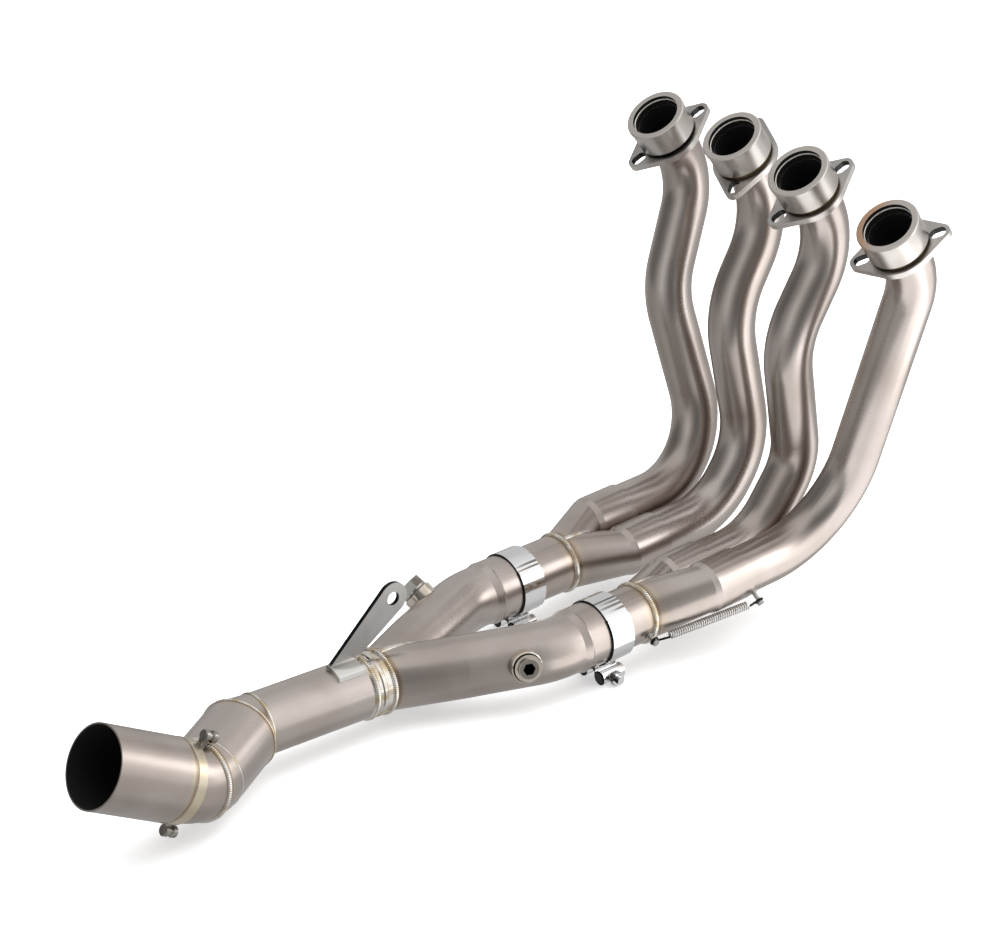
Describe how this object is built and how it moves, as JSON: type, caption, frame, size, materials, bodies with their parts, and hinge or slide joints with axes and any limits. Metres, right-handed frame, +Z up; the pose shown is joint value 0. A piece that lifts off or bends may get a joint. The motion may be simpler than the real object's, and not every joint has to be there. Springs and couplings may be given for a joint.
{
  "type": "motorcycle exhaust header",
  "caption": "Exhaust header for an inline-four motorcycle: bent primary pipes with loose port flanges merge in pairs, then into one outlet stub with a hanger strap.",
  "frame": {"origin": "middle of the bolt hole in the hanger bracket, on the header's centre plane", "axes": "+X from cylinder 1 to cylinder 4, along the hanger bolt; +Y to the front of the motorcycle; +Z up"},
  "size_m": [0.3221, 0.7198, 0.3745],
  "materials": {
    "tube": "satin, slightly browned",
    "collar": "turned, satin",
    "flange": "cut plate, satin",
    "clamp": "bright polished",
    "fastener": "bright zinc",
    "spring": "drawn wire",
    "bung": "turned, bright",
    "bracket": "satin plate",
    "band": "heat-tinted gold",
    "lug": "dark satin"
  },
  "bodies": {
    "header": {"header_pipe_1": "tube", "port_collar_1": "collar", "collector_branch_1": "tube", "slip_spring_1": "spring", "spring_post_neck_1": "spring", "spring_post_pipe_1": "spring", "header_pipe_2": "tube", "port_collar_2": "collar", "collector_branch_2": "tube", "header_pipe_3": "tube", "port_collar_3": "collar", "collector_branch_3": "tube", "header_pipe_4": "tube", "port_collar_4": "collar", "collector_branch_4": "tube", "slip_spring_4": "spring", "spring_post_neck_4": "spring", "spring_post_pipe_4": "spring", "collector_neck_12": "tube", "secondary_pipe_12": "tube", "clamp_band_12": "clamp", "clamp_barrel_left_12": "fastener", "clamp_barrel_right_12": "fastener", "clamp_bolt_12": "fastener", "clamp_nut_12": "fastener", "sensor_bung_12": "bung", "sensor_plug_12": "fastener", "collector_neck_34": "tube", "secondary_pipe_34": "tube", "clamp_band_34": "clamp", "clamp_barrel_left_34": "fastener", "clamp_barrel_right_34": "fastener", "clamp_bolt_34": "fastener", "clamp_nut_34": "fastener", "sensor_bung_34": "bung", "sensor_plug_34": "fastener", "mid_pipe": "tube", "step_cone": "tube", "outlet_elbow": "tube", "outlet_sleeve": "tube", "outlet_stub": "tube", "junction_collar": "tube", "hanger_bracket": "bracket", "outlet_band": "band", "outlet_lug_top": "lug", "outlet_lug_bottom": "lug"},
    "flange_1": {"port_flange_1": "flange"},
    "flange_2": {"port_flange_2": "flange"},
    "flange_3": {"port_flange_3": "flange"},
    "flange_4": {"port_flange_4": "flange"}
  },
  "joints": [
    {"name": "flange_1_swivel", "type": "hinge", "parent": "header", "child": "flange_1", "pos_m": [-0.13253, 0.3912, 0.2328], "axis": [0, -0.6, 0.8], "continuous": true},
    {"name": "flange_2_swivel", "type": "hinge", "parent": "header", "child": "flange_2", "pos_m": [-0.04417, 0.3897, 0.2379], "axis": [0, -0.6, 0.8], "continuous": true},
    {"name": "flange_3_swivel", "type": "hinge", "parent": "header", "child": "flange_3", "pos_m": [0.04417, 0.3728, 0.2368], "axis": [0, -0.6, 0.8], "continuous": true},
    {"name": "flange_4_swivel", "type": "hinge", "parent": "header", "child": "flange_4", "pos_m": [0.13253, 0.3773, 0.2171], "axis": [0, -0.6, 0.8], "continuous": true}
  ]
}
